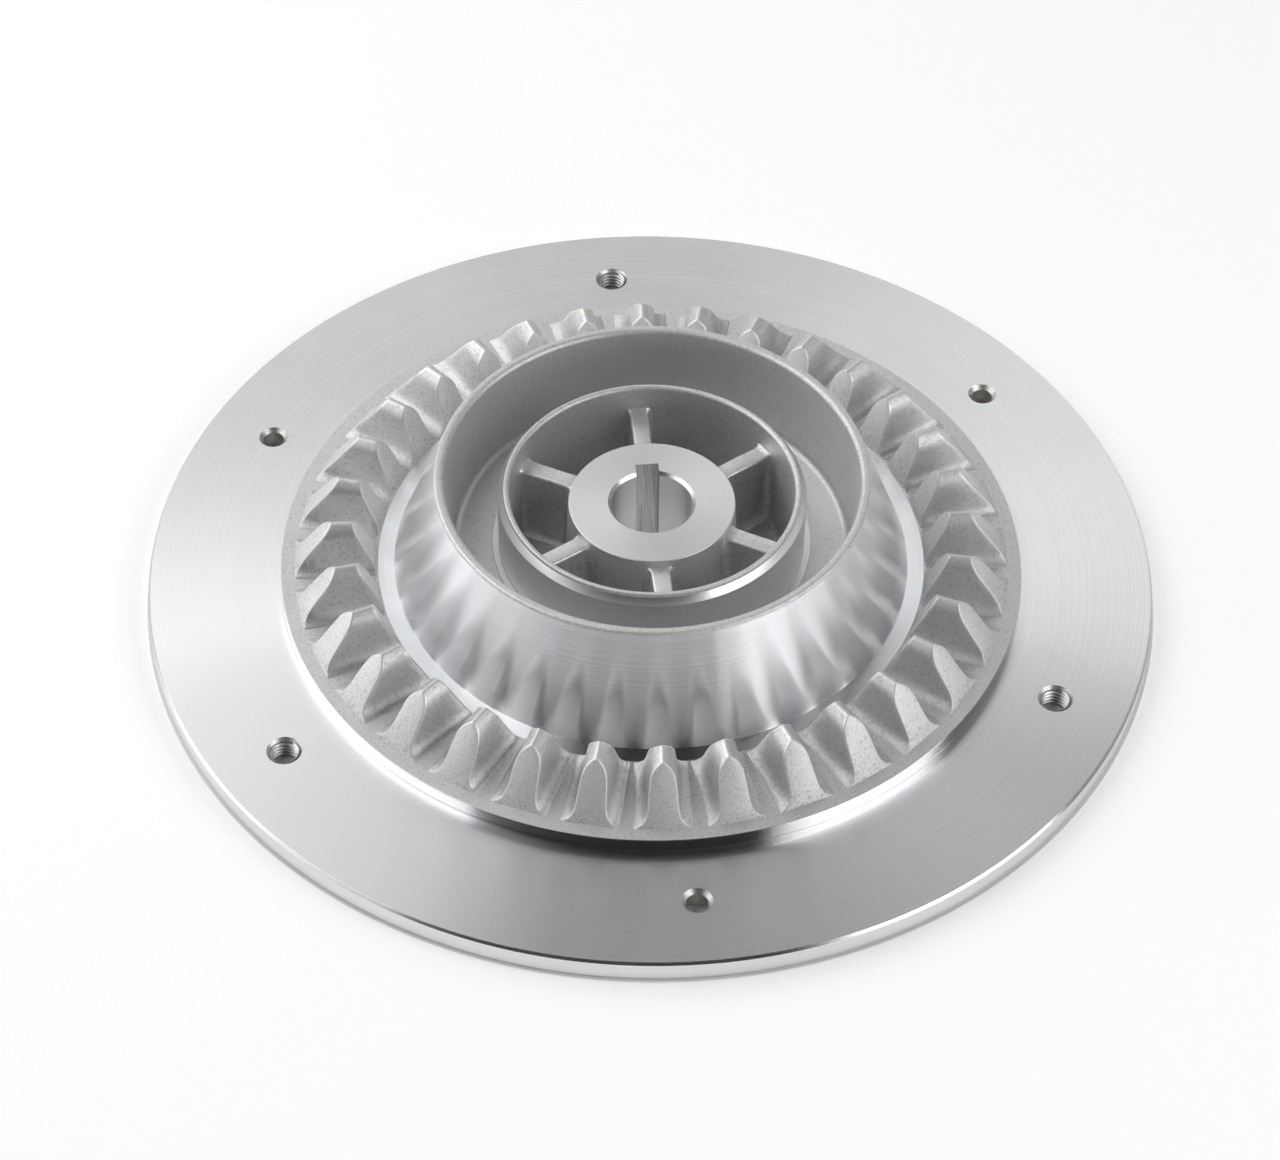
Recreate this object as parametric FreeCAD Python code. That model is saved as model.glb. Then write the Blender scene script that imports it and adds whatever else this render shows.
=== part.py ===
"""Finned flange wheel: a flat drilled flange disc, a cast cone ring with 32 radial cooling ribs,
and a six-spoked hub carrier for a keyed shaft, held together by screws from the rest side.

Millimetres.  +Z is the wheel's axis, z = 0 is the flat rest face under the flange, and +Y points
through the keyway, one spoke and the first tapped hole.
"""
import FreeCAD, Part
import math
import os

os.makedirs("parts", exist_ok=True)

V = FreeCAD.Vector
AXIS = V(0, 0, 1)
CENTRE = V(0, 0, 0)

# ---- driving dimensions -------------------------------------------------------------------
FLANGE_D = 350.0            # outside diameter of the flange disc
FLANGE_T = 8.0              # its thickness; its top face is the machined mounting face
FLANGE_BORE_D = 200.2       # locating bore, a running fit on the casting's spigot
FLANGE_CHAMFER = 0.8

HOLE_PCD = 300.0            # six holes on one circle, tapped and plain by turns
HOLE_COUNT = 3              # of each sort
TAPPED_D = 8.5              # core diameter of the M10 threads
TAPPED_SINK_D = 12.0
PLAIN_D = 7.4
PLAIN_SINK_D = 10.2

SPIGOT_D = 200.0            # casting: spigot that locates the flange disc
BOSS_D = 258.0              # casting: turned boss that stands on the flange
BOSS_H = 5.0
RIB_FOOT_D = 248.0          # outer foot circle of the ribs
RIB_CREST_OUT_D = 221.4     # ends of each rib's ridge line
RIB_CREST_IN_D = 206.2
RIB_INNER_FOOT_D = 190.8    # also the outer edge of the turned groove
RIB_H = 17.8                # height of the ridge above the boss face
RIB_COUNT = 32
RIB_PHASE = 86.23           # degrees from +X to the first rib
GROOVE_Z = 12.3             # floor of the turned groove at the cone's foot

CONE_FOOT_D = 178.8
CONE_RIM_D = 149.4
CONE_RIM_Z = 51.5
RIM_TOP_Z = 52.6
RIM_INNER_D = 141.4
WALL_FOOT_D = 137.2         # foot of the cone's inner wall, where the shelf begins
SHELF_Z = 20.0
BASE_Z = 1.0                # underside of everything inside the flange: clear of the rest face

FIT_BORE_D = 100.06         # bore through the shelf that takes the carrier's foot
FIT_D = 100.0               # turned foot of the carrier, pressed into that bore
SEAT_D = 106.0              # turned outside of the carrier's tube, above the collar
COLLAR_D = 110.4            # shoulder that rests on the shelf
COLLAR_Z = 21.0
TUBE_CHAMFER_Z = 42.3       # lead-in chamfer near the tube's rim
TUBE_TOP_Z = 46.0
TUBE_RIM_D = 102.4
TUBE_INNER_D = 97.6
TUBE_FLOOR_D = 95.2         # inner wall at the pocket floor, with casting draft
POCKET_FLOOR_Z = 7.0

HUB_D = 57.4
HUB_FOOT_D = 60.6
HUB_TOP_Z = 38.7
BORE_D = 28.0
BORE_CHAMFER = 1.1
KEY_W = 8.0
KEY_REACH = 18.3            # from the axis to the bottom of the keyway
SPOKE_COUNT = 6
SPOKE_W = 6.6
SPOKE_TOP_Z = 36.0

SCREW_COUNT = 8             # M6 countersunk socket screws, one under every fourth rib
SCREW_PCD = 232.0
SCREW_D = 6.0
SCREW_HOLE_D = 6.05
SCREW_CLEAR_D = 6.6
SCREW_HEAD_D = 11.6
SCREW_HEAD_H = 3.3
SCREW_LENGTH = 16.5
SCREW_RECESS = 0.3
SOCKET_AF = 4.0
SOCKET_DEPTH = 2.4


# ---- small helpers ------------------------------------------------------------------------
def point(radius, height):
    """A point of a turned outline, in the XZ plane."""
    return V(radius, 0, height)


def line(start, end):
    return Part.makeLine(point(*start), point(*end))


def arc(start, middle, end):
    return Part.Arc(point(*start), point(*middle), point(*end)).toShape()


def turned(edges):
    """Revolve a closed outline about the axis."""
    face = Part.Face(Part.Wire(edges))
    return face.revolve(CENTRE, AXIS, 360)


def polar(diameter, degrees, height=0.0):
    angle = math.radians(degrees)
    return V(diameter / 2 * math.cos(angle), diameter / 2 * math.sin(angle), height)


def ring_of(shape, count, first=0.0):
    """Copies of a shape at equal angles about the axis."""
    copies = []
    for index in range(count):
        copy = shape.copy()
        copy.rotate(CENTRE, AXIS, first + index * 360.0 / count)
        copies.append(copy)
    return copies


def sunk_hole(diameter, sink_diameter, at, bottom, top):
    """Cutter for a through hole with a 90 degree countersink at each face."""
    depth = (sink_diameter - diameter) / 2
    cutter = Part.makeCylinder(diameter / 2, top - bottom, V(at.x, at.y, bottom))
    upper = Part.makeCone(diameter / 2, sink_diameter / 2, depth, V(at.x, at.y, top - depth))
    lower = Part.makeCone(sink_diameter / 2, diameter / 2, depth, V(at.x, at.y, bottom))
    return cutter.fuse([upper, lower])


# ---- flange disc --------------------------------------------------------------------------
def flange_disc():
    """Turned plate with six edge holes and countersunk screw holes from below."""
    inner = FLANGE_BORE_D / 2
    outer = FLANGE_D / 2
    chamfer = FLANGE_CHAMFER
    outline = [
        (inner, 0), (outer - chamfer, 0), (outer, chamfer),
        (outer, FLANGE_T - chamfer), (outer - chamfer, FLANGE_T), (inner, FLANGE_T), (inner, 0),
    ]
    disc = turned([line(a, b) for a, b in zip(outline, outline[1:])])
    cutters = []
    for index in range(HOLE_COUNT):
        tapped_at = polar(HOLE_PCD, 90 + index * 120)
        plain_at = polar(HOLE_PCD, 30 + index * 120)
        cutters.append(sunk_hole(TAPPED_D, TAPPED_SINK_D, tapped_at, 0, FLANGE_T))
        cutters.append(sunk_hole(PLAIN_D, PLAIN_SINK_D, plain_at, 0, FLANGE_T))
    clearance = Part.makeCylinder(SCREW_CLEAR_D / 2, FLANGE_T, V(SCREW_PCD / 2, 0, 0))
    sink_top = SCREW_RECESS + SCREW_HEAD_H
    mouth = Part.makeCylinder(SCREW_HEAD_D / 2 + 0.1, SCREW_RECESS, V(SCREW_PCD / 2, 0, 0))
    sink = Part.makeCone(SCREW_HEAD_D / 2 + 0.1, SCREW_CLEAR_D / 2, sink_top - SCREW_RECESS,
                         V(SCREW_PCD / 2, 0, SCREW_RECESS))
    cutters += ring_of(clearance.fuse([mouth, sink]), SCREW_COUNT, RIB_PHASE)
    return disc.cut(cutters)


# ---- cone casting -------------------------------------------------------------------------
def casting_body():
    """The turned and cored shape of the casting, without its ribs."""
    boss_z = FLANGE_T + BOSS_H
    foot = CONE_FOOT_D / 2
    rim = CONE_RIM_D / 2
    bore = FIT_BORE_D / 2
    core_inner = bore + 6
    core_outer = SPIGOT_D / 2 - 5
    shelf_under = SHELF_Z - 6
    edges = [
        line((bore, BASE_Z), (core_inner, BASE_Z)),
        line((core_inner, BASE_Z), (core_inner, shelf_under)),
        line((core_inner, shelf_under), (72.5, shelf_under)),
        line((72.5, shelf_under), (74.3, 30.5)),
        arc((74.3, 30.5), (75.9, 32.1), (77.5, 30.5)),
        line((77.5, 30.5), (85.5, FLANGE_T)),
        line((85.5, FLANGE_T), (core_outer, FLANGE_T)),
        line((core_outer, FLANGE_T), (core_outer, BASE_Z)),
        line((core_outer, BASE_Z), (SPIGOT_D / 2, BASE_Z)),
        line((SPIGOT_D / 2, BASE_Z), (SPIGOT_D / 2, FLANGE_T)),
        line((SPIGOT_D / 2, FLANGE_T), (BOSS_D / 2, FLANGE_T)),
        line((BOSS_D / 2, FLANGE_T), (BOSS_D / 2, boss_z)),
        line((BOSS_D / 2, boss_z), (RIB_INNER_FOOT_D / 2, boss_z)),
        line((RIB_INNER_FOOT_D / 2, boss_z), (RIB_INNER_FOOT_D / 2, GROOVE_Z)),
        line((RIB_INNER_FOOT_D / 2, GROOVE_Z), (foot, GROOVE_Z)),
        line((foot, GROOVE_Z), (rim, CONE_RIM_Z)),
        arc((rim, CONE_RIM_Z), (rim - 1.9, RIM_TOP_Z), (RIM_INNER_D / 2, CONE_RIM_Z - 1)),
        line((RIM_INNER_D / 2, CONE_RIM_Z - 1), (WALL_FOOT_D / 2, SHELF_Z + 2)),
        arc((WALL_FOOT_D / 2, SHELF_Z + 2), (68.0, SHELF_Z + 0.6), (66.6, SHELF_Z)),
        line((66.6, SHELF_Z), (bore, SHELF_Z)),
        line((bore, SHELF_Z), (bore, BASE_Z)),
    ]
    return turned(edges)


def rib():
    """One rib along +X: a pointed arch in section, its ends cut by the two foot cones."""
    base = FLANGE_T + BOSS_H
    sink = base - 1
    ridge = base + RIB_H

    def side(half_width, height, sign):
        return V(0, sign * half_width, height)

    edges = []
    for sign in (1, -1):
        edges += [
            Part.makeLine(side(0, ridge, sign), side(2.9, ridge - 2.3, sign)),
            Part.Arc(side(2.9, ridge - 2.3, sign), side(4.0, ridge - 3.6, sign),
                     side(4.4, ridge - 5.2, sign)).toShape(),
            Part.makeLine(side(4.4, ridge - 5.2, sign), side(5.2, base + 5.2, sign)),
            Part.Arc(side(5.2, base + 5.2, sign), side(6.0, base + 1.9, sign),
                     side(8.2, base, sign)).toShape(),
            Part.makeLine(side(8.2, base, sign), side(8.2, sink, sign)),
        ]
    edges.append(Part.makeLine(side(8.2, sink, 1), side(8.2, sink, -1)))
    section = Part.Face(Part.Wire(Part.__sortEdges__(edges)))
    bar = section.extrude(V(60, 0, 0))
    bar.translate(V(80, 0, 0))

    outline = [
        (RIB_INNER_FOOT_D / 2, sink), (RIB_FOOT_D / 2, sink), (RIB_FOOT_D / 2, base),
        (RIB_CREST_OUT_D / 2, ridge), (RIB_CREST_IN_D / 2, ridge),
        (RIB_INNER_FOOT_D / 2, base), (RIB_INNER_FOOT_D / 2, sink),
    ]
    envelope = turned([line(a, b) for a, b in zip(outline, outline[1:])])
    return bar.common(envelope)


def finned_cone():
    """The casting: boss, ribs, groove, polished cone, shelf and seat bore."""
    body = casting_body()
    body = body.fuse(ring_of(rib(), RIB_COUNT, RIB_PHASE))
    depth = SCREW_RECESS + SCREW_LENGTH + 1.5 - FLANGE_T
    tapping = Part.makeCylinder(SCREW_HOLE_D / 2, depth, V(SCREW_PCD / 2, 0, FLANGE_T))
    return body.cut(ring_of(tapping, SCREW_COUNT, RIB_PHASE))


# ---- hub carrier --------------------------------------------------------------------------
def carrier_body():
    """Hub, floor and tube in one turned outline."""
    bore = BORE_D / 2
    hub = HUB_D / 2
    hub_foot = HUB_FOOT_D / 2
    fit = FIT_D / 2
    seat = SEAT_D / 2
    tube_foot = TUBE_FLOOR_D / 2
    floor = POCKET_FLOOR_Z
    edges = [
        line((bore, BASE_Z), (fit, BASE_Z)),
        line((fit, BASE_Z), (fit, SHELF_Z)),
        line((fit, SHELF_Z), (COLLAR_D / 2, SHELF_Z)),
        line((COLLAR_D / 2, SHELF_Z), (COLLAR_D / 2, COLLAR_Z)),
        line((COLLAR_D / 2, COLLAR_Z), (seat, COLLAR_Z)),
        line((seat, COLLAR_Z), (seat, TUBE_CHAMFER_Z)),
        line((seat, TUBE_CHAMFER_Z), (TUBE_RIM_D / 2, TUBE_TOP_Z - 0.7)),
        arc((TUBE_RIM_D / 2, TUBE_TOP_Z - 0.7), (TUBE_RIM_D / 2 - 1.1, TUBE_TOP_Z),
            (TUBE_INNER_D / 2, TUBE_TOP_Z - 1.6)),
        line((TUBE_INNER_D / 2, TUBE_TOP_Z - 1.6), (tube_foot, floor + 2)),
        arc((tube_foot, floor + 2), (tube_foot - 0.6, floor + 0.6), (tube_foot - 2, floor)),
        line((tube_foot - 2, floor), (hub_foot + 2, floor)),
        arc((hub_foot + 2, floor), (hub_foot + 0.6, floor + 0.6), (hub_foot, floor + 2)),
        line((hub_foot, floor + 2), (hub + 0.2, SPOKE_TOP_Z)),
        line((hub + 0.2, SPOKE_TOP_Z), (hub, HUB_TOP_Z - 0.4)),
        line((hub, HUB_TOP_Z - 0.4), (hub - 0.4, HUB_TOP_Z)),
        line((hub - 0.4, HUB_TOP_Z), (bore + BORE_CHAMFER, HUB_TOP_Z)),
        line((bore + BORE_CHAMFER, HUB_TOP_Z), (bore, HUB_TOP_Z - BORE_CHAMFER)),
        line((bore, HUB_TOP_Z - BORE_CHAMFER), (bore, BASE_Z)),
    ]
    return turned(edges)


def hub_carrier():
    """Six spokes join the keyed hub to the tube that seats in the casting."""
    body = carrier_body()
    inner = HUB_D / 2 - 4
    outer = TUBE_INNER_D / 2 + 1
    spoke = Part.makeBox(outer - inner, SPOKE_W, SPOKE_TOP_Z - POCKET_FLOOR_Z + 1,
                         V(inner, -SPOKE_W / 2, POCKET_FLOOR_Z - 1))
    body = body.fuse(ring_of(spoke, SPOKE_COUNT, 90))
    keyway = Part.makeBox(KEY_W, KEY_REACH, HUB_TOP_Z, V(-KEY_W / 2, 0, 0))
    return body.cut(keyway)


# ---- fixing screws ------------------------------------------------------------------------
def flange_screws():
    """Countersunk socket screws, heads just below the rest face."""
    head = SCREW_HEAD_D / 2
    shank = SCREW_D / 2
    bottom = SCREW_RECESS
    tip = bottom + SCREW_LENGTH
    outline = [
        (0, bottom), (head, bottom), (head, bottom + 0.4),
        (shank, bottom + SCREW_HEAD_H), (shank, tip - 0.8), (shank - 0.8, tip), (0, tip),
        (0, bottom),
    ]
    screw = turned([line(a, b) for a, b in zip(outline, outline[1:])])
    corner = SOCKET_AF / math.sqrt(3)
    corners = [V(corner * math.cos(math.radians(60 * k)), corner * math.sin(math.radians(60 * k)),
                 bottom) for k in range(7)]
    socket = Part.Face(Part.makePolygon(corners)).extrude(V(0, 0, SOCKET_DEPTH))
    screw = screw.cut(socket)
    screw.translate(V(SCREW_PCD / 2, 0, 0))
    return Part.makeCompound(ring_of(screw, SCREW_COUNT, RIB_PHASE))


PIECES = {
    "flange_disc": flange_disc,
    "finned_cone": finned_cone,
    "hub_carrier": hub_carrier,
    "flange_screws": flange_screws,
}

for name, make in PIECES.items():
    shape = make()
    if not shape.isValid():
        raise ValueError(name + " is not a valid shape")
    shape.exportStep("parts/" + name + ".step")
    print(name, len(shape.Solids), "solid(s), volume", round(shape.Volume / 1000, 1), "cm3")
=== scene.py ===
import math

import bmesh
import bpy
from mathutils import Matrix, Vector, noise


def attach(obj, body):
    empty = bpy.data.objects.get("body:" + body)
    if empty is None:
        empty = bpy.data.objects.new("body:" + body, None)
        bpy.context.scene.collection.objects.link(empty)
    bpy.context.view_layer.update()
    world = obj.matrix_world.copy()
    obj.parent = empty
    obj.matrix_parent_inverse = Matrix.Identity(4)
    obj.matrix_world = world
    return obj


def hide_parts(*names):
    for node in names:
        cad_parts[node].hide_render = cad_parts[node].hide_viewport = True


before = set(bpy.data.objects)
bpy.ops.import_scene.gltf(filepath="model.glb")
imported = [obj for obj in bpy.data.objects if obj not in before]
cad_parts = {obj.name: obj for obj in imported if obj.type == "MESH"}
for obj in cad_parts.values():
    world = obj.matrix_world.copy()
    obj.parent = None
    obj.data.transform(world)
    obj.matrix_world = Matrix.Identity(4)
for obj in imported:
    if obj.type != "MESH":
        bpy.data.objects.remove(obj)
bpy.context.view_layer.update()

# ---- Flange disc --------------------------------------------------------------------------
# A flat aluminium disc, 350 mm across and 8 mm thick, faced on a lathe so that its face keeps
# fine rings.  Six holes stand on one circle near the edge, three tapped, drawn as M10, and three
# plain, and eight countersunk holes on the rest side take the screws that hold the casting.
MM = 0.001
FLANGE_RADIUS = 175.0
FLANGE_BORE = 100.1
FLANGE_TOP = 8.0
HOLE_CIRCLE = 150.0
TAPPED_RADIUS = 5.0
TAPPED_SINK = 6.0
THREAD_CORE = 4.3
THREAD_PITCH = 1.5
PLAIN_RADIUS = 3.7
PLAIN_SINK = 5.1
SCREW_CIRCLE = 116.0
SCREW_CLEARANCE = 3.3
SCREW_SINK = 5.9
SCREW_COUNT = 8
RIB_PHASE = math.radians(86.23)


def rounded(outline, arc_steps=4):
    """Outline points (radius, height, corner) in mm, each corner opened into an arc."""
    points = []
    for index, (radius, height, corner) in enumerate(outline):
        here = Vector((radius, height))
        if not corner:
            points.append(here)
            continue
        before = (Vector(outline[index - 1][:2]) - here).normalized()
        after = (Vector(outline[(index + 1) % len(outline)][:2]) - here).normalized()
        half = before.angle(after) / 2
        centre = here + (before + after).normalized() * corner / math.sin(half)
        start = here + before * corner / math.tan(half) - centre
        end = here + after * corner / math.tan(half) - centre
        for step in range(arc_steps + 1):
            points.append(centre + start.lerp(end, step / arc_steps).normalized() * corner)
    return points


def turn(outline, steps, closed=True):
    """A bmesh spun from outline points (radius, height) in mm about the wheel's axis."""
    bm = bmesh.new()
    verts = [bm.verts.new((point[0] * MM, 0, point[1] * MM)) for point in outline]
    edges = [bm.edges.new(pair) for pair in zip(verts, verts[1:])]
    if closed:
        edges.append(bm.edges.new((verts[-1], verts[0])))
    bmesh.ops.spin(bm, geom=verts + edges, cent=(0, 0, 0), axis=(0, 0, 1),
                   angle=2 * math.pi, steps=steps, use_merge=True)
    bmesh.ops.remove_doubles(bm, verts=bm.verts, dist=0.001 * MM)
    bmesh.ops.recalc_face_normals(bm, faces=bm.faces)
    return bm


def around(radius, angle, height=0.0):
    return Vector((radius * math.cos(angle), radius * math.sin(angle), height)) * MM


def piece_from(bm, name, materials):
    """Put a bmesh in the scene as one piece with its materials."""
    mesh = bpy.data.meshes.new(name)
    bm.to_mesh(mesh)
    bm.free()
    piece = bpy.data.objects.new(name, mesh)
    bpy.context.scene.collection.objects.link(piece)
    for material in materials:
        mesh.materials.append(material)
    return piece


def carve(piece, cutter):
    """Cut one object's shape out of another and drop the cutter."""
    cut = piece.modifiers.new("cut", "BOOLEAN")
    cut.operation = "DIFFERENCE"
    cut.solver = "EXACT"
    cut.material_mode = "TRANSFER"
    cut.object = cutter
    depsgraph = bpy.context.evaluated_depsgraph_get()
    carved = bpy.data.meshes.new_from_object(piece.evaluated_get(depsgraph))
    piece.modifiers.clear()
    piece.data = carved
    carved.name = piece.name
    bpy.data.objects.remove(cutter)


def smooth_but_crisp(piece, crease=28, flats=True):
    """Smooth shading with a hard line wherever two faces meet at more than the crease."""
    bm = bmesh.new()
    bm.from_mesh(piece.data)
    for face in bm.faces:
        face.smooth = True
    for edge in bm.edges:
        edge.smooth = edge.calc_face_angle(0) < math.radians(crease)
    bm.to_mesh(piece.data)
    bm.free()
    if flats:
        weighted = piece.modifiers.new("flat faces stay flat", "WEIGHTED_NORMAL")
        weighted.keep_sharp = True
        weighted.weight = 60


def join_into(bm, other):
    """Add another bmesh's shape to this one."""
    spare = bpy.data.meshes.new("spare")
    other.to_mesh(spare)
    other.free()
    bm.from_mesh(spare)
    bpy.data.meshes.remove(spare)


def hole_cutter(radius, sink, at):
    """A through hole with a chamfer at each face, as a turned plug."""
    depth = sink - radius
    plug = turn([(0, -1), (sink + 1, -1), (radius, depth), (radius, FLANGE_TOP - depth),
                 (sink + 1, FLANGE_TOP + 1), (0, FLANGE_TOP + 1)], 64, closed=False)
    bmesh.ops.translate(plug, verts=plug.verts, vec=at)
    return plug


def thread_ridge(core, major, pitch, bottom, top, at):
    """The helical ridge of a cut thread, standing in from the hole's wall."""
    per_turn = 48
    turns = (top - bottom) / pitch
    bm = bmesh.new()
    painted_thread_light = bm.verts.layers.float.new("painted_thread_light")
    section = [(major + 0.08, -0.47), (core, -0.09), (core, 0.09), (major + 0.08, 0.47)]
    corners = [bm.verts.new((r * MM, 0, (bottom + offset * pitch) * MM))
               for r, offset in section]
    for corner, (r, offset) in zip(corners, section):
        # Crest corners carry the thread's painted highlight and root corners its painted shade.
        corner[painted_thread_light] = 1.0 if r == core else 0.01
    face = bm.faces.new(corners)
    steps = round(per_turn * turns)
    bmesh.ops.spin(bm, geom=[face], cent=(0, 0, 0), axis=(0, 0, 1),
                   dvec=(0, 0, (top - bottom) / steps * MM), angle=turns * 2 * math.pi,
                   steps=steps, use_merge=False, use_duplicate=False)
    bmesh.ops.recalc_face_normals(bm, faces=bm.faces)
    bmesh.ops.translate(bm, verts=bm.verts, vec=at)
    return bm


def new_group(name, inputs, outputs):
    """An empty shader node group with its named sockets and their starting values."""
    group = bpy.data.node_groups.new(name, "ShaderNodeTree")
    for socket_name, kind, value in inputs:
        socket = group.interface.new_socket(socket_name, in_out="INPUT", socket_type=kind)
        socket.default_value = value
    for socket_name, kind in outputs:
        group.interface.new_socket(socket_name, in_out="OUTPUT", socket_type=kind)
    return group, group.nodes.new("NodeGroupInput"), group.nodes.new("NodeGroupOutput")


class Wiring:
    """Short words for adding and joining shader nodes in one tree."""

    def __init__(self, tree):
        self.tree = tree

    def put(self, socket, value):
        if isinstance(value, bpy.types.NodeSocket):
            self.tree.links.new(value, socket)
        else:
            socket.default_value = value

    def math(self, operation, first, second=0.0, third=0.0, clamp=False):
        node = self.tree.nodes.new("ShaderNodeMath")
        node.operation = operation
        node.use_clamp = clamp
        self.put(node.inputs[0], first)
        self.put(node.inputs[1], second)
        self.put(node.inputs[2], third)
        return node.outputs[0]

    def noise(self, vector, scale, detail=2.0, rough=0.5, dimensions="3D"):
        node = self.tree.nodes.new("ShaderNodeTexNoise")
        node.noise_dimensions = dimensions
        if dimensions == "1D":
            self.put(node.inputs["W"], vector)
        else:
            self.put(node.inputs["Vector"], vector)
        self.put(node.inputs["Scale"], scale)
        self.put(node.inputs["Detail"], detail)
        self.put(node.inputs["Roughness"], rough)
        return node.outputs[0]

    def span(self, value, low, high, to_low, to_high):
        node = self.tree.nodes.new("ShaderNodeMapRange")
        node.clamp = True
        for socket, item in zip(node.inputs, (value, low, high, to_low, to_high)):
            self.put(socket, item)
        return node.outputs[0]

    def mix(self, factor, first, second):
        node = self.tree.nodes.new("ShaderNodeMix")
        node.data_type = "RGBA"
        self.put(node.inputs[0], factor)
        self.put(node.inputs[6], first)
        self.put(node.inputs[7], second)
        return node.outputs[2]

    def vector(self, operation, first, second=(0, 0, 0)):
        node = self.tree.nodes.new("ShaderNodeVectorMath")
        node.operation = operation
        self.put(node.inputs[0], first)
        self.put(node.inputs[1], second)
        return node.outputs["Value" if operation in ("LENGTH", "DOT_PRODUCT") else "Vector"]

    def group(self, group, **values):
        node = self.tree.nodes.new("ShaderNodeGroup")
        node.node_tree = group
        for name, value in values.items():
            self.put(node.inputs[name.replace("_", " ")], value)
        return node.outputs


def turned_finish_group():
    """Rings that a lathe tool leaves: their height, and a mask of brighter and duller ones."""
    group, given, out = new_group(
        "turned rings",
        [("Position", "NodeSocketVector", (0, 0, 0)), ("Ring Pitch", "NodeSocketFloat", 0.0006),
         ("Bands", "NodeSocketFloat", 0.3), ("Clouds", "NodeSocketFloat", 0.5)],
        [("Height", "NodeSocketFloat"), ("Tone", "NodeSocketFloat")])
    w = Wiring(group)
    position = given.outputs["Position"]
    radius = w.vector("LENGTH", w.vector("MULTIPLY", position, (1, 1, 0)))
    split = group.nodes.new("ShaderNodeSeparateXYZ")
    group.links.new(position, split.inputs[0])
    # A wall's rings follow its height and a face's rings its radius, so both are added.
    along = w.math("ADD", radius, w.math("MULTIPLY", split.outputs["Z"], 1.37))
    fine = w.noise(w.math("DIVIDE", along, given.outputs["Ring Pitch"]), 1.0, 2.0, 0.6, "1D")
    bands = w.math("SUBTRACT", w.noise(along, 170.0, 3.0, 0.6, "1D"), 0.5)
    clouds = w.math("SUBTRACT", w.noise(position, 24.0, 3.0, 0.55), 0.5)
    tone = w.math("MULTIPLY_ADD", bands, given.outputs["Bands"], fine)
    tone = w.math("MULTIPLY_ADD", clouds, given.outputs["Clouds"], tone)
    group.links.new(fine, out.inputs["Height"])
    group.links.new(w.span(tone, 0.25, 0.75, 0.0, 1.0), out.inputs["Tone"])
    return group


turned_rings = turned_finish_group()


def metal(name, colour, roughness, anisotropy=0.0):
    """A bare metal material, with its tree, its shader and its Object position."""
    material = bpy.data.materials.new(name)
    material.use_nodes = True
    tree = material.node_tree
    shader = tree.nodes["Principled BSDF"]
    shader.inputs["Base Color"].default_value = (*colour, 1)
    shader.inputs["Metallic"].default_value = 1.0
    shader.inputs["Roughness"].default_value = roughness
    shader.inputs["Anisotropic"].default_value = anisotropy
    shader.inputs["Anisotropic Rotation"].default_value = 0.25
    position = tree.nodes.new("ShaderNodeTexCoord").outputs["Object"]
    return material, Wiring(tree), shader, position


def grooves_run_round(w, shader, position):
    """Turn the shader's grain so that it runs in rings about the wheel's axis."""
    ring = w.vector("NORMALIZE", w.vector("CROSS_PRODUCT", (0, 0, 1), position))
    w.put(shader.inputs["Tangent"], ring)


def bump(w, shader, height, strength, distance):
    node = w.tree.nodes.new("ShaderNodeBump")
    w.put(node.inputs["Strength"], strength)
    w.put(node.inputs["Distance"], distance)
    w.put(node.inputs["Height"], height)
    w.put(shader.inputs["Normal"], node.outputs["Normal"])


def turned_metal(name, light, dark, rough, spread, anisotropy, ring_pitch=0.0006, depth=0.1,
                 bands=0.3, clouds=0.5, stain=0.0):
    """Aluminium straight from the lathe: fine rings, faint duller bands, a soft cloudiness.

    A stain adds the faint blue and brown streaks of cutting oil that dried down a wall.
    """
    material, w, shader, position = metal(name, light, rough, anisotropy)
    rings = w.group(turned_rings, Position=position, Ring_Pitch=ring_pitch, Bands=bands,
                    Clouds=clouds)
    colour = w.mix(rings["Tone"], (*dark, 1), (*light, 1))
    if stain:
        heading = w.vector("NORMALIZE", w.vector("MULTIPLY", position, (1, 1, 0)))
        streak = w.span(w.noise(heading, 11.0, 4.0, 0.7), 0.36, 0.64, 0.0, 1.0)
        colour = w.mix(stain, colour, w.mix(streak, (0.66, 0.78, 0.92, 1), (0.95, 0.84, 0.74, 1)))
    w.put(shader.inputs["Base Color"], colour)
    w.put(shader.inputs["Roughness"], w.span(rings["Tone"], 0, 1, rough + spread, rough - spread))
    bump(w, shader, rings["Height"], depth, 0.00001)
    grooves_run_round(w, shader, position)
    return material


faced_metal = turned_metal("faced flange", (0.85, 0.85, 0.862), (0.81, 0.81, 0.825),
                           0.25, 0.012, 0.97, 0.0007, 0.03, 0.25, 0.7)


# Drilled walls are duller than the face.  The thread's roots are painted dark as painted shade
# and its crests painted bright as a painted highlight.
drilled_metal, w, shader, position = metal("drilled holes", (0.7, 0.7, 0.7), 0.42)
painted_thread_light = w.tree.nodes.new("ShaderNodeAttribute")
painted_thread_light.attribute_name = "painted_thread_light"
chatter = w.noise(w.vector("MULTIPLY", position, (1, 1, 2.5)), 1900.0, 3.0, 0.6)
wall = w.mix(w.span(chatter, 0.35, 0.65, 0, 1), (0.50, 0.49, 0.47, 1), (0.80, 0.79, 0.77, 1))
root = w.mix(painted_thread_light.outputs["Fac"], (0.16, 0.155, 0.15, 1), (0.93, 0.92, 0.90, 1))
cut = w.math("GREATER_THAN", painted_thread_light.outputs["Fac"], 0.0005)
w.put(shader.inputs["Base Color"], w.mix(cut, wall, root))
w.put(shader.inputs["Roughness"], w.span(chatter, 0.3, 0.7, 0.5, 0.36))
bump(w, shader, chatter, 0.2, 0.00003)

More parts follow.
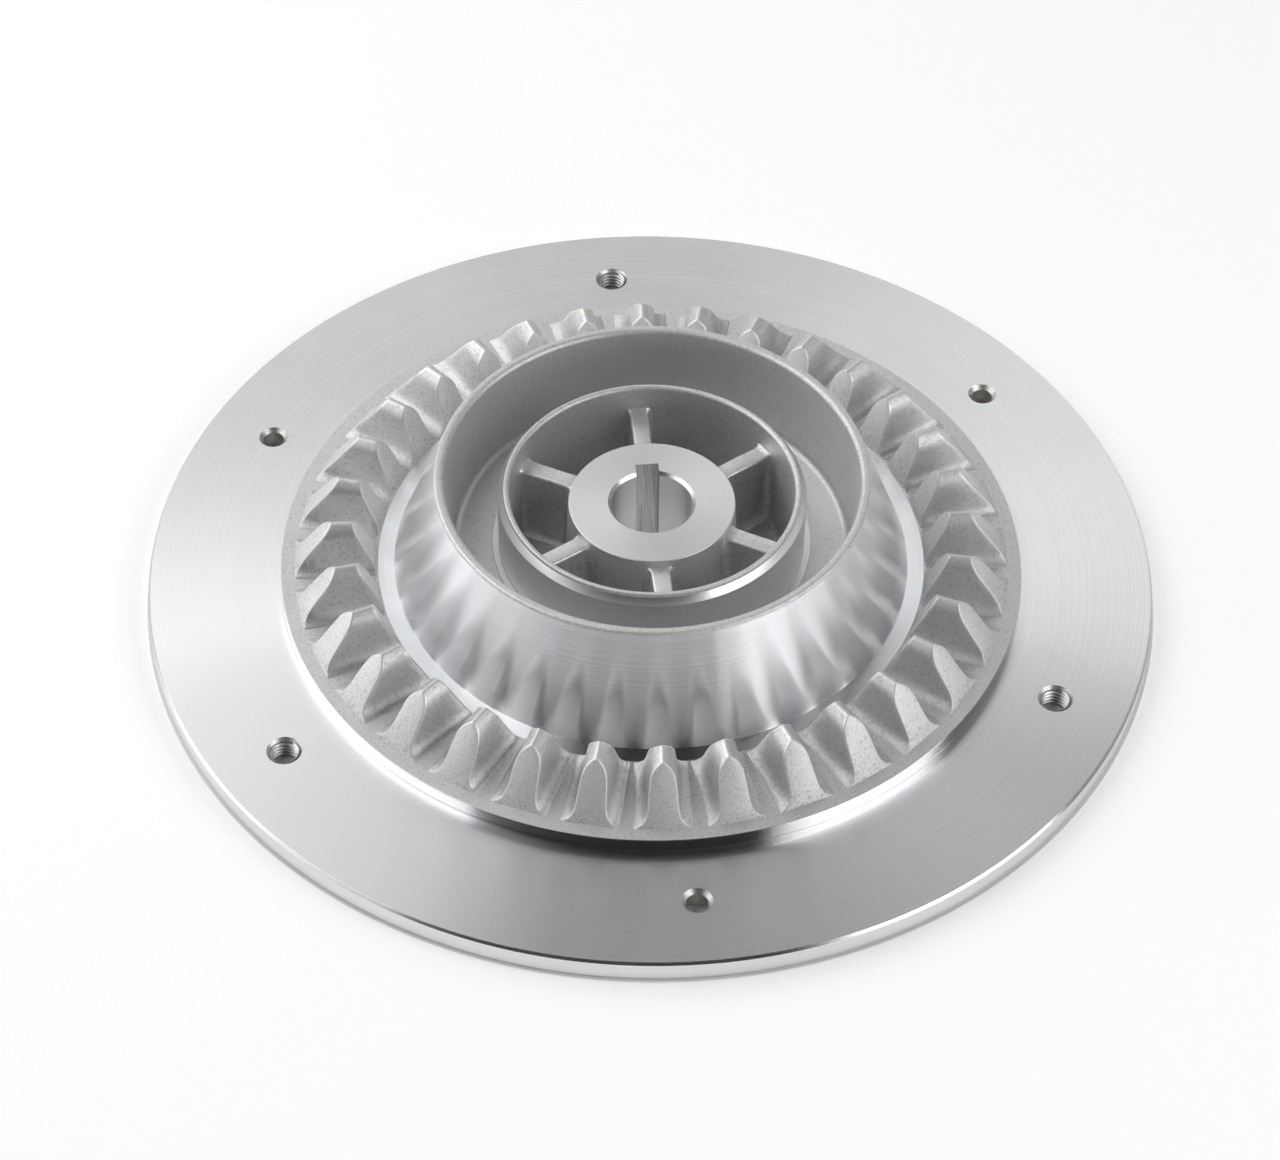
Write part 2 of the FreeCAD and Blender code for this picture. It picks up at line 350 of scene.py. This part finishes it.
flange_shape = turn(rounded([
    (FLANGE_BORE, 0, 0.3), (FLANGE_RADIUS - 0.7, 0, 0), (FLANGE_RADIUS, 0.7, 0),
    (FLANGE_RADIUS, FLANGE_TOP - 0.8, 0.12), (FLANGE_RADIUS - 0.8, FLANGE_TOP, 0.12),
    (FLANGE_BORE, FLANGE_TOP, 0.3)]), 384)
flange = piece_from(flange_shape, "flange_plate", [faced_metal])

cutters = bmesh.new()
threads = bmesh.new()
for index in range(3):
    tapped_at = around(HOLE_CIRCLE, math.radians(90 + 120 * index))
    plain_at = around(HOLE_CIRCLE, math.radians(30 + 120 * index))
    join_into(cutters, hole_cutter(TAPPED_RADIUS, TAPPED_SINK, tapped_at))
    join_into(cutters, hole_cutter(PLAIN_RADIUS, PLAIN_SINK, plain_at))
    join_into(threads, thread_ridge(THREAD_CORE, TAPPED_RADIUS, THREAD_PITCH, 0.9,
                                    FLANGE_TOP - 0.9, tapped_at))
for index in range(SCREW_COUNT):
    screw_at = around(SCREW_CIRCLE, RIB_PHASE + index * 2 * math.pi / SCREW_COUNT)
    plug = turn([(0, -1), (SCREW_SINK, -1), (SCREW_SINK, 0.35), (SCREW_CLEARANCE, 3.6),
                 (SCREW_CLEARANCE, 9), (0, 9)], 48, closed=False)
    bmesh.ops.translate(plug, verts=plug.verts, vec=screw_at)
    join_into(cutters, plug)
carve(flange, piece_from(cutters, "flange_cutters", [drilled_metal]))
for face in threads.faces:
    face.material_index = list(flange.data.materials).index(drilled_metal)
with_threads = bmesh.new()
with_threads.from_mesh(flange.data)
join_into(with_threads, threads)
with_threads.to_mesh(flange.data)
with_threads.free()
smooth_but_crisp(flange)
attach(flange, "root")
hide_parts("flange_disc")

# ---- Cone casting -------------------------------------------------------------------------
# One aluminium casting, shot-blasted and then turned where it has to fit: the boss wall, the
# groove and the outside of the cone are bright from the lathe, while the flat ring, the ribs, the
# cone's rim and its inside keep the casting's grain.
BOSS_RADIUS = 129.0
BOSS_TOP = 13.0
GROOVE_OUTER = 95.4
GROOVE_FLOOR = 12.3
CONE_FOOT = 89.4
CONE_TOP = (74.7, 51.5)
SHELF = 20.0
BASE = 1.0


def cast_grain_group():
    """The skin of a blasted sand casting: a speckled height, its tone and a slow cloud."""
    group, given, out = new_group(
        "cast grain",
        [("Position", "NodeSocketVector", (0, 0, 0)), ("Grain", "NodeSocketFloat", 1400.0),
         ("Pits", "NodeSocketFloat", 0.5)],
        [("Height", "NodeSocketFloat"), ("Tone", "NodeSocketFloat"),
         ("Cloud", "NodeSocketFloat")])
    w = Wiring(group)
    position = given.outputs["Position"]
    grain = w.noise(position, given.outputs["Grain"], 4.0, 0.65)
    pitting = w.noise(position, w.math("MULTIPLY", given.outputs["Grain"], 0.36), 1.0, 0.5)
    pits = w.span(pitting, 0.27, 0.4, 1.0, 0.0)
    cloud = w.noise(position, 38.0, 3.0, 0.6)
    height = w.math("SUBTRACT", grain, w.math("MULTIPLY", pits, given.outputs["Pits"]))
    group.links.new(height, out.inputs["Height"])
    group.links.new(w.span(height, 0.36, 0.62, 0.0, 1.0), out.inputs["Tone"])
    group.links.new(cloud, out.inputs["Cloud"])
    return group


cast_grain = cast_grain_group()


def cast_metal(name, light, dark, rough, grain, depth, pits, edge_wear_and_highlight=0.0):
    """Blasted cast aluminium; edges painted bright, partly rubbed wear and partly a painted
    highlight, follow the piece's own mask.
    """
    material, w, shader, position = metal(name, light, rough)
    skin = w.group(cast_grain, Position=position, Grain=grain, Pits=pits)
    tone = w.math("MULTIPLY_ADD", w.math("SUBTRACT", skin["Cloud"], 0.5), 0.5, skin["Tone"],
                  clamp=True)
    colour = w.mix(tone, (*dark, 1), (*light, 1))
    roughness = w.span(tone, 0.0, 1.0, rough + 0.06, rough - 0.04)
    if edge_wear_and_highlight:
        # Painted highlight on the edges, mixed with wear that rubbed them bright.
        mask = w.tree.nodes.new("ShaderNodeAttribute")
        mask.attribute_name = "rubbed_and_highlit"
        worn_and_highlit = w.math("MULTIPLY", mask.outputs["Fac"],
                      w.span(skin["Cloud"], 0.3, 0.7, 0.55 * edge_wear_and_highlight, edge_wear_and_highlight))
        colour = w.mix(worn_and_highlit, colour, (0.95, 0.945, 0.93, 1))
        roughness = w.math("SUBTRACT", roughness, w.math("MULTIPLY", worn_and_highlit, 0.1))
    w.put(shader.inputs["Base Color"], colour)
    w.put(shader.inputs["Roughness"], roughness)
    bump(w, shader, skin["Height"], depth, 0.0001)
    return material


boss_metal = turned_metal("turned boss wall", (0.84, 0.84, 0.85), (0.78, 0.78, 0.79),
                          0.08, 0.01, 0.9, 0.0005, 0.02, 0.3, 0.3, stain=0.25)
cone_metal = turned_metal("polished cone", (0.86, 0.865, 0.88), (0.81, 0.815, 0.83),
                          0.235, 0.015, 1.0, 0.0008, 0.006, 0.2, 0.9, stain=0.17)
ring_metal = cast_metal("blasted ring", (0.84, 0.84, 0.845), (0.64, 0.64, 0.645),
                        0.50, 2600.0, 0.3, 0.35, 0.8)
rib_metal = cast_metal("rib flanks", (0.82, 0.82, 0.815), (0.64, 0.64, 0.635),
                       0.55, 1900.0, 0.35, 0.35, 0.6)
rib_end_metal = cast_metal("rib ends", (0.93, 0.925, 0.92), (0.63, 0.63, 0.625),
                           0.66, 2600.0, 0.5, 0.45, 0.6)
inside_metal = cast_metal("cast inside", (0.84, 0.84, 0.845), (0.73, 0.73, 0.74),
                          0.52, 1900.0, 0.2, 0.3)
rim_metal = cast_metal("cast rim", (0.84, 0.84, 0.83), (0.67, 0.67, 0.66),
                       0.56, 1900.0, 0.3, 0.4)

cone_shape = turn(rounded([
    (50.03, BASE, 0), (56.0, BASE, 0.8), (56.0, 14.0, 3.0), (72.5, 14.0, 3.0),
    (74.6, 32.0, 1.4), (77.3, 32.0, 1.4), (85.5, FLANGE_TOP, 3.0), (95.0, FLANGE_TOP, 2.0),
    (95.0, BASE, 0.5), (100.0, BASE, 0.5), (100.0, FLANGE_TOP + 0.01, 0),
    (BOSS_RADIUS - 0.15, FLANGE_TOP + 0.01, 0), (BOSS_RADIUS - 0.15, FLANGE_TOP + 0.35, 0),
    (BOSS_RADIUS, FLANGE_TOP + 0.5, 0), (BOSS_RADIUS, BOSS_TOP, 0.22),
    (GROOVE_OUTER, BOSS_TOP, 0.5), (GROOVE_OUTER - 0.3, GROOVE_FLOOR, 0.15),
    (CONE_FOOT, GROOVE_FLOOR, 0.12), (CONE_TOP[0], CONE_TOP[1], 0.2),
    (74.3, 52.6, 0.9), (71.1, 52.6, 1.7), (68.6, SHELF, 2.4), (50.03, SHELF, 0.1)]), 384)
casting_metals = [ring_metal, boss_metal, cone_metal, rim_metal, inside_metal]
for face in cone_shape.faces:
    middle = face.calc_center_median() / MM
    radius = math.hypot(middle.x, middle.y)
    height = middle.z
    if radius > BOSS_RADIUS - 0.5 or height < FLANGE_TOP + 0.4:
        finish = boss_metal
    elif radius > GROOVE_OUTER - 0.2:
        finish = ring_metal
    elif radius > CONE_TOP[0] + (CONE_TOP[1] - height) * 0.3:
        finish = cone_metal
    elif height > 49.5:
        finish = rim_metal
    else:
        finish = inside_metal
    face.material_index = casting_metals.index(finish)
casting = piece_from(cone_shape, "finned_casting", casting_metals)
smooth_but_crisp(casting)
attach(casting, "root")
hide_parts("finned_cone")

# ---- Ribs of the casting ------------------------------------------------------------------
# Thirty-two radial ribs stand on the casting's flat ring.  Each is a pointed arch in section,
# about 18 mm high and 10 mm thick, flows into the ring with a soft foot, and slopes off at both
# ends.  The edges are painted bright, partly as wear from handling and partly as a painted
# highlight.
RIB_COUNT = 32
RIB_HEIGHT = 17.8
RIB_FEET = (95.4, 124.0)
RIB_CREST = (103.1, 110.7)
RIB_SIDE = [(0.0, 17.8), (1.3, 16.95), (2.5, 15.95), (3.4, 14.9), (4.0, 13.7), (4.35, 12.3),
            (4.6, 10.4), (4.8, 8.4), (5.0, 6.2), (5.2, 4.4), (5.5, 3.0), (6.0, 1.9),
            (6.8, 0.95), (7.7, 0.35), (8.7, 0.05), (9.0, -0.5)]
RIB_WALL = 5.0
RIB_FOOT = 9.0
RIB_CUTS = 7


def rib_shape(seed):
    """One rib along +X, its section drawn between the two sloping ends."""
    bm = bmesh.new()
    rubbed_and_highlit = bm.verts.layers.float.new("rubbed_and_highlit")
    run = bm.verts.layers.float.new("run")
    left = [bm.verts.new((0, side * MM, (BOSS_TOP + up) * MM)) for side, up in RIB_SIDE]
    right = [bm.verts.new((0, -side * MM, (BOSS_TOP + up) * MM)) for side, up in RIB_SIDE[1:]]
    start = bm.faces.new(left + right[::-1])
    far = bmesh.ops.extrude_face_region(bm, geom=[start], use_keep_orig=True)
    outer_verts = [item for item in far["geom"] if isinstance(item, bmesh.types.BMVert)]
    for vert in outer_verts:
        vert[run] = 1.0
    lengthwise = [edge for edge in bm.edges if edge.verts[0][run] != edge.verts[1][run]]
    bmesh.ops.subdivide_edges(bm, edges=lengthwise, cuts=RIB_CUTS, use_grid_fill=True)
    for vert in bm.verts:
        rise = (vert.co.z / MM - BOSS_TOP) / RIB_HEIGHT
        inner = RIB_FEET[0] + rise * (RIB_CREST[0] - RIB_FEET[0])
        outer = RIB_FEET[1] + rise * (RIB_CREST[1] - RIB_FEET[1])
        vert.co.x = (inner + vert[run] * (outer - inner)) * MM
        # The valleys widen outwards, and the foot's sweep widens a third as fast.
        half_pitch = vert.co.x / MM * math.tan(math.pi / RIB_COUNT)
        foot = RIB_FOOT + (half_pitch - RIB_FOOT) / 3
        side = abs(vert.co.y) / MM
        if side > RIB_WALL:
            side = RIB_WALL + (side - RIB_WALL) * (foot - RIB_WALL) / (RIB_FOOT - RIB_WALL)
            vert.co.y = math.copysign(side, vert.co.y) * MM
    bmesh.ops.recalc_face_normals(bm, faces=bm.faces)
    ends = [face for face in bm.faces if len(face.verts) > 4]
    for face in ends:
        face.material_index = 1
    outline = {edge for face in ends for edge in face.edges
               if min(vert.co.z for vert in edge.verts) > (BOSS_TOP - 0.4) * MM}
    ridge = [edge for edge in bm.edges
             if all(abs(vert.co.y) < 0.01 * MM for vert in edge.verts)]
    result = bmesh.ops.bevel(bm, geom=list(outline) + ridge, offset=0.75 * MM, segments=3,
                             profile=0.5, affect="EDGES", material=-1, clamp_overlap=True)
    # The bevelled edges take the mask of bright edges, which is rubbed wear and a painted
    # highlight, faded out towards the foot.
    for face in result["faces"]:
        for vert in face.verts:
            vert[rubbed_and_highlit] = min(1.0, max(0.0, (vert.co.z / MM - BOSS_TOP - 1.0) / 4.0))
    for vert in bm.verts:
        wander = noise.noise_vector(vert.co / (7 * MM) + Vector((seed * 3.1, 0, 0)))
        vert.co += Vector((wander.x, wander.y, wander.z * 0.5)) * 0.22 * MM
    return bm


ribs = bmesh.new()
for index in range(RIB_COUNT):
    rib = rib_shape(index)
    bmesh.ops.rotate(rib, verts=rib.verts, cent=(0, 0, 0),
                     matrix=Matrix.Rotation(RIB_PHASE + index * 2 * math.pi / RIB_COUNT, 3, "Z"))
    join_into(ribs, rib)
rib_ring = piece_from(ribs, "cooling_ribs", [rib_metal, rib_end_metal])
smooth_but_crisp(rib_ring, 50, flats=False)
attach(rib_ring, "root")
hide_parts("finned_cone")

# ---- Hub carrier --------------------------------------------------------------------------
# A second casting seated in the cone: a tube turned outside to 106 mm with a collar on the shelf,
# a closed floor, six spokes and the hub.  The hub's face and bore are turned and its keyway is
# broached, while the rim, the spokes and the pockets keep the casting's skin.
SEAT = 53.0
FOOT = 50.0
POCKET_FLOOR = 7.0
HUB_RADIUS = 28.7
HUB_TOP = 38.7
BORE = 14.0
SPOKE_TOP = 36.0
TUBE_TOP = 46.0
TUBE_INSIDE = 47.6
KEYWAY_WIDTH = 8.0
KEYWAY_REACH = 18.3

seat_metal = turned_metal("turned seat", (0.76, 0.77, 0.78), (0.70, 0.71, 0.72),
                          0.34, 0.02, 0.6, 0.0006, 0.1, 0.4, 0.4)
hub_face_metal = turned_metal("turned hub face", (0.85, 0.85, 0.85), (0.80, 0.80, 0.803),
                              0.46, 0.02, 0.35, 0.0009, 0.1, 0.15, 0.9)
chamfer_metal = turned_metal("turned chamfer", (0.88, 0.88, 0.89), (0.82, 0.82, 0.83),
                             0.30, 0.02, 0.5, 0.0006, 0.1, 0.3, 0.4)
bore_metal = turned_metal("turned bore", (0.84, 0.84, 0.85), (0.76, 0.76, 0.77),
                          0.36, 0.03, 0.6, 0.0006, 0.05, 0.2, 0.6)
pocket_metal = cast_metal("cast pockets", (0.80, 0.80, 0.805), (0.66, 0.66, 0.67),
                          0.58, 1500.0, 0.3, 0.4)

# The broach drags along the keyway, so its marks are long in Z and narrow across.
broached_metal, w, shader, position = metal("broached keyway", (0.66, 0.66, 0.65), 0.34)
drawn = w.vector("MULTIPLY", position, (1, 1, 0.03))
strokes = w.noise(drawn, 2600.0, 3.0, 0.6)
w.put(shader.inputs["Base Color"], w.mix(w.span(strokes, 0.35, 0.65, 0, 1),
                                         (0.50, 0.50, 0.49, 1), (0.76, 0.76, 0.75, 1)))
w.put(shader.inputs["Roughness"], w.span(strokes, 0.3, 0.7, 0.52, 0.38))
bump(w, shader, strokes, 0.4, 0.00004)

hub_shape = turn(rounded([
    (BORE, BASE, 0.5), (FOOT, BASE, 0.5), (FOOT, SHELF, 0), (55.2, SHELF, 0),
    (55.2, 21.0, 0.15), (SEAT - 0.02, 21.0, 0), (SEAT - 0.25, 21.25, 0), (SEAT, 21.6, 0),
    (SEAT, 42.6, 0.1), (51.2, 44.9, 0.2), (50.9, TUBE_TOP, 0.5), (49.0, TUBE_TOP, 1.2),
    (TUBE_INSIDE, POCKET_FLOOR, 2.2), (30.3, POCKET_FLOOR, 2.2), (HUB_RADIUS + 0.2, SPOKE_TOP, 0),
    (HUB_RADIUS, HUB_TOP, 0.35), (BORE + 1.1, HUB_TOP, 0.1), (BORE, HUB_TOP - 1.1, 0.1)]), 256)
hub_metals = [pocket_metal, hub_face_metal, seat_metal, rim_metal, bore_metal, chamfer_metal,
              broached_metal]
for face in hub_shape.faces:
    middle = face.calc_center_median() / MM
    radius = math.hypot(middle.x, middle.y)
    if radius < BORE + 1.0:
        finish = bore_metal
    elif middle.z > HUB_TOP - 0.5 and radius < HUB_RADIUS:
        finish = hub_face_metal
    elif 42.6 < middle.z < 45.0 and radius > 51:
        finish = chamfer_metal
    elif middle.z > 45.0:
        finish = rim_metal
    elif radius > FOOT - 0.1:
        finish = seat_metal
    else:
        finish = pocket_metal
    face.material_index = hub_metals.index(finish)
hub = piece_from(hub_shape, "hub_and_tube", hub_metals)
key_cut = bmesh.new()
bmesh.ops.create_cube(key_cut, size=1.0)
bmesh.ops.scale(key_cut, verts=key_cut.verts, vec=Vector((KEYWAY_WIDTH, KEYWAY_REACH, 60.0)) * MM)
bmesh.ops.translate(key_cut, verts=key_cut.verts, vec=Vector((0, KEYWAY_REACH / 2, 20.0)) * MM)
carve(hub, piece_from(key_cut, "key_cutter", [broached_metal]))
smooth_but_crisp(hub)
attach(hub, "root")
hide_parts("hub_carrier")

# ---- Spokes of the carrier ----------------------------------------------------------------
# Six webs of the same casting, about 6.4 mm thick at the top with a little draft.  They flare
# where they run into the hub, the tube and the floor.
SPOKE_COUNT = 6
SPOKE_HALF = 3.2
SPOKE_REACH = (28.3, 48.6)
SPOKE_CUTS = 23
SPOKE_DRAFT = 0.02
HUB_DRAFT = 0.048
TUBE_DRAFT = 0.036
FLARE = 2.6

spoke_metal = cast_metal("cast spokes", (0.80, 0.80, 0.80), (0.62, 0.62, 0.625),
                         0.52, 1500.0, 0.3, 0.4, 0.5)


def flare(distance):
    """How far a cast fillet of radius FLARE stands out at a distance from the wall it joins."""
    gap = max(0.0, FLARE - max(0.0, distance))
    return FLARE - math.sqrt(FLARE * FLARE - gap * gap)


def spoke_shape(seed):
    """One spoke along +X: a slab cut into a fine grid and swollen at its ends and foot."""
    bm = bmesh.new()
    rubbed_and_highlit = bm.verts.layers.float.new("rubbed_and_highlit")
    bmesh.ops.create_cube(bm, size=1.0)
    along = [edge for edge in bm.edges
             if abs(edge.verts[0].co.x - edge.verts[1].co.x) > 0.5]
    bmesh.ops.subdivide_edges(bm, edges=along, cuts=SPOKE_CUTS, use_grid_fill=True)
    upright = [edge for edge in bm.edges
               if abs(edge.verts[0].co.z - edge.verts[1].co.z) > 0.5]
    bmesh.ops.subdivide_edges(bm, edges=upright, cuts=SPOKE_CUTS, use_grid_fill=True)
    for vert in bm.verts:
        reach = SPOKE_REACH[0] + (vert.co.x + 0.5) * (SPOKE_REACH[1] - SPOKE_REACH[0])
        height = POCKET_FLOOR - 0.5 + (vert.co.z + 0.5) * (SPOKE_TOP - POCKET_FLOOR + 0.5)
        hub_wall = HUB_RADIUS + 0.2 + (SPOKE_TOP - height) * HUB_DRAFT
        tube_wall = TUBE_INSIDE + (height - POCKET_FLOOR) * TUBE_DRAFT
        swell = (flare(reach - hub_wall) + flare(tube_wall - reach)
                 + flare(height - POCKET_FLOOR))
        near_top = min(1.0, max(0.0, (height - SPOKE_TOP + 5.0) / 5.0))
        half = (SPOKE_HALF + (SPOKE_TOP - height) * SPOKE_DRAFT
                + min(swell, FLARE) * (1 - 0.65 * near_top * near_top))
        vert.co = Vector((reach, math.copysign(half, vert.co.y), height)) * MM
    bmesh.ops.recalc_face_normals(bm, faces=bm.faces)
    top = [edge for edge in bm.edges
           if all(vert.co.z > (SPOKE_TOP - 0.01) * MM for vert in edge.verts)
           and abs(edge.verts[0].co.x - edge.verts[1].co.x) > 0.1 * MM
           and len({face.normal.z > 0.5 for face in edge.link_faces}) == 2]
    result = bmesh.ops.bevel(bm, geom=top, offset=0.8 * MM, segments=3, profile=0.5,
                             affect="EDGES", material=-1, clamp_overlap=True)
    # The spoke's top edges take the same mask of rubbed wear and painted highlight, faded out at
    # the ends.
    for face in result["faces"]:
        for vert in face.verts:
            clear = min(vert.co.x / MM - SPOKE_REACH[0], SPOKE_REACH[1] - vert.co.x / MM)
            vert[rubbed_and_highlit] = min(1.0, max(0.0, (clear - 2.5) / 1.5))
    for vert in bm.verts:
        share = (vert.co.z / MM - POCKET_FLOOR) / (SPOKE_TOP - POCKET_FLOOR)
        if share > 0.8:
            vert.co.z += 0.3 * flare(SPOKE_REACH[1] - 0.4 - vert.co.x / MM) * MM
    for vert in bm.verts:
        wander = noise.noise_vector(vert.co / (9 * MM) + Vector((0, seed * 2.7, 0)))
        vert.co += Vector((0, wander.y, wander.z * 0.5)) * 0.2 * MM
    return bm


spokes = bmesh.new()
for index in range(SPOKE_COUNT):
    spoke = spoke_shape(index)
    turn_by = math.radians(90) + index * 2 * math.pi / SPOKE_COUNT
    bmesh.ops.rotate(spoke, verts=spoke.verts, cent=(0, 0, 0),
                     matrix=Matrix.Rotation(turn_by, 3, "Z"))
    join_into(spokes, spoke)
spoke_ring = piece_from(spokes, "hub_spokes", [spoke_metal])
smooth_but_crisp(spoke_ring, 50, flats=False)
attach(spoke_ring, "root")
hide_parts("hub_carrier")

# ---- Fixing screws ------------------------------------------------------------------------
# Eight black M6 countersunk socket screws on the rest side.  They pass through the flange disc
# and hold in blind holes under every fourth rib.
SCREW_HEAD = 5.8
SOCKET_ACROSS_FLATS = 4.0

screw_steel, w, shader, position = metal("black oxide steel", (0.05, 0.05, 0.052), 0.42)
skin = w.group(cast_grain, Position=position, Grain=2400.0, Pits=0.2)
w.put(shader.inputs["Base Color"], w.mix(skin["Tone"], (0.03, 0.03, 0.032, 1),
                                         (0.085, 0.083, 0.08, 1)))
w.put(shader.inputs["Roughness"], w.span(skin["Cloud"], 0.3, 0.7, 0.34, 0.5))
bump(w, shader, skin["Height"], 0.2, 0.00003)

screw_shape = turn(rounded([
    (0, 0.3, 0), (SCREW_HEAD, 0.3, 0.15), (SCREW_HEAD, 0.75, 0), (3.0, 3.6, 0.3),
    (3.0, 16.0, 0), (2.2, 16.8, 0), (0, 16.8, 0)]), 48, closed=False)
screw = piece_from(screw_shape, "screw", [screw_steel])
socket = bmesh.new()
socket_corner = SOCKET_ACROSS_FLATS / math.sqrt(3) * MM
bmesh.ops.create_cone(socket, cap_ends=True, cap_tris=False, segments=6,
                      radius1=socket_corner, radius2=socket_corner, depth=4.8 * MM)
bmesh.ops.translate(socket, verts=socket.verts, vec=Vector((0, 0, 0.3)) * MM)
carve(screw, piece_from(socket, "socket_cutter", [screw_steel]))
screws = bmesh.new()
for index in range(SCREW_COUNT):
    copy = bmesh.new()
    copy.from_mesh(screw.data)
    at = around(SCREW_CIRCLE, RIB_PHASE + index * 2 * math.pi / SCREW_COUNT)
    bmesh.ops.translate(copy, verts=copy.verts, vec=at)
    join_into(screws, copy)
bpy.data.objects.remove(screw)
screw_set = piece_from(screws, "flange_screw_set", [screw_steel])
smooth_but_crisp(screw_set)
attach(screw_set, "root")
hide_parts("flange_screws")

# ---- Floor, light and camera --------------------------------------------------------------
# A pale table in a white studio.  A large soft box stands to the left, a smaller and brighter one
# to the right with a low strip under it, and a white wall behind; the side where the camera
# stands is left dark, which draws the black lines in the turned walls.
VIEW_TURN = math.radians(-6.38)
CAMERA_HEIGHT = math.radians(46.25)
CAMERA_DISTANCE = 1.1986
CAMERA_ROLL = 0.0133

floor_shape = bmesh.new()
bmesh.ops.create_grid(floor_shape, x_segments=1, y_segments=1, size=1.5)
bmesh.ops.translate(floor_shape, verts=floor_shape.verts, vec=(0, 0, -0.00002))
# The table glows a little where the room can light it, and not in the shade under the disc.
paper, w, shader, position = metal("pale table", (0.92, 0.92, 0.92), 0.9)
shader.inputs["Metallic"].default_value = 0.0
shader.inputs["Emission Color"].default_value = (1, 1, 1, 1)
from_axis = w.vector("LENGTH", w.vector("MULTIPLY", position, (1, 1, 0)))
past_edge = w.math("GREATER_THAN", from_axis, (FLANGE_RADIUS + 1) * MM)
under_bore = w.math("LESS_THAN", from_axis, 2 * BORE * MM)
w.put(shader.inputs["Emission Strength"],
      w.math("MULTIPLY", w.math("ADD", past_edge, under_bore), 0.32))
floor = piece_from(floor_shape, "table", [paper])


def seen_from_front(azimuth, elevation, distance):
    """A place by the viewer's own compass: 0 is right, 90 away, 180 left, 270 the viewer."""
    around_to = math.radians(azimuth) + VIEW_TURN
    rise = math.radians(elevation)
    return distance * Vector((math.cos(rise) * math.cos(around_to),
                              math.cos(rise) * math.sin(around_to), math.sin(rise)))


def soft_box(name, azimuth, elevation, distance, wide, high, radiance, roll=0):
    """A rectangular light that faces the wheel; wide and high are the angles it fills."""
    data = bpy.data.lights.new(name, "AREA")
    data.shape = "RECTANGLE"
    data.size = 2 * distance * math.tan(math.radians(wide / 2))
    data.size_y = 2 * distance * math.tan(math.radians(high / 2))
    data.energy = radiance * math.pi * data.size * data.size_y
    light = bpy.data.objects.new(name, data)
    bpy.context.scene.collection.objects.link(light)
    light.location = seen_from_front(azimuth, elevation, distance)
    facing = (-light.location).to_track_quat("-Z", "Y").to_matrix()
    light.rotation_euler = (facing @ Matrix.Rotation(math.radians(roll), 3, "Z")).to_euler()
    light.visible_camera = False
    return light


soft_box("left_box", 170, 42, 1.6, 58, 62, 1.75, roll=55)
soft_box("right_box", 334, 36, 1.6, 40, 30, 3.0)
soft_box("right_low", 315, 7, 1.9, 34, 12, 1.1)
soft_box("back_wall", 92, 34, 2.2, 72, 34, 0.7)

world = bpy.data.worlds.new("studio")
bpy.context.scene.world = world
world.use_nodes = True
sky = Wiring(world.node_tree)
seen = world.node_tree.nodes.new("ShaderNodeLightPath").outputs["Is Camera Ray"]
background = world.node_tree.nodes["Background"]
outward = world.node_tree.nodes.new("ShaderNodeTexCoord").outputs["Generated"]
to_camera = seen_from_front(270, math.degrees(CAMERA_HEIGHT), 1.0)
dark_side = sky.span(sky.vector("DOT_PRODUCT", outward, to_camera), 0.12, 0.6, 0.0, 1.0)
room = sky.mix(dark_side, (0.23, 0.23, 0.237, 1), (0.018, 0.018, 0.018, 1))
sky.put(background.inputs["Color"], sky.mix(seen, room, (1, 1, 1, 1)))

camera_data = bpy.data.cameras.new("camera")
camera_data.sensor_width = 36.0
camera_data.lens = 96.3
camera = bpy.data.objects.new("camera", camera_data)
bpy.context.scene.collection.objects.link(camera)
above_flange = Vector((0, 0, FLANGE_TOP * MM))
stand = above_flange + seen_from_front(270, math.degrees(CAMERA_HEIGHT), CAMERA_DISTANCE)
aim = above_flange + Matrix.Rotation(VIEW_TURN, 3, "Z") @ Vector((-0.0037, -0.0082, 0))
camera.location = stand
look = (aim - stand).to_track_quat("-Z", "Y").to_matrix() @ Matrix.Rotation(CAMERA_ROLL, 3, "Z")
camera.rotation_euler = look.to_euler()
bpy.context.scene.camera = camera
bpy.context.scene.view_settings.view_transform = "Standard"
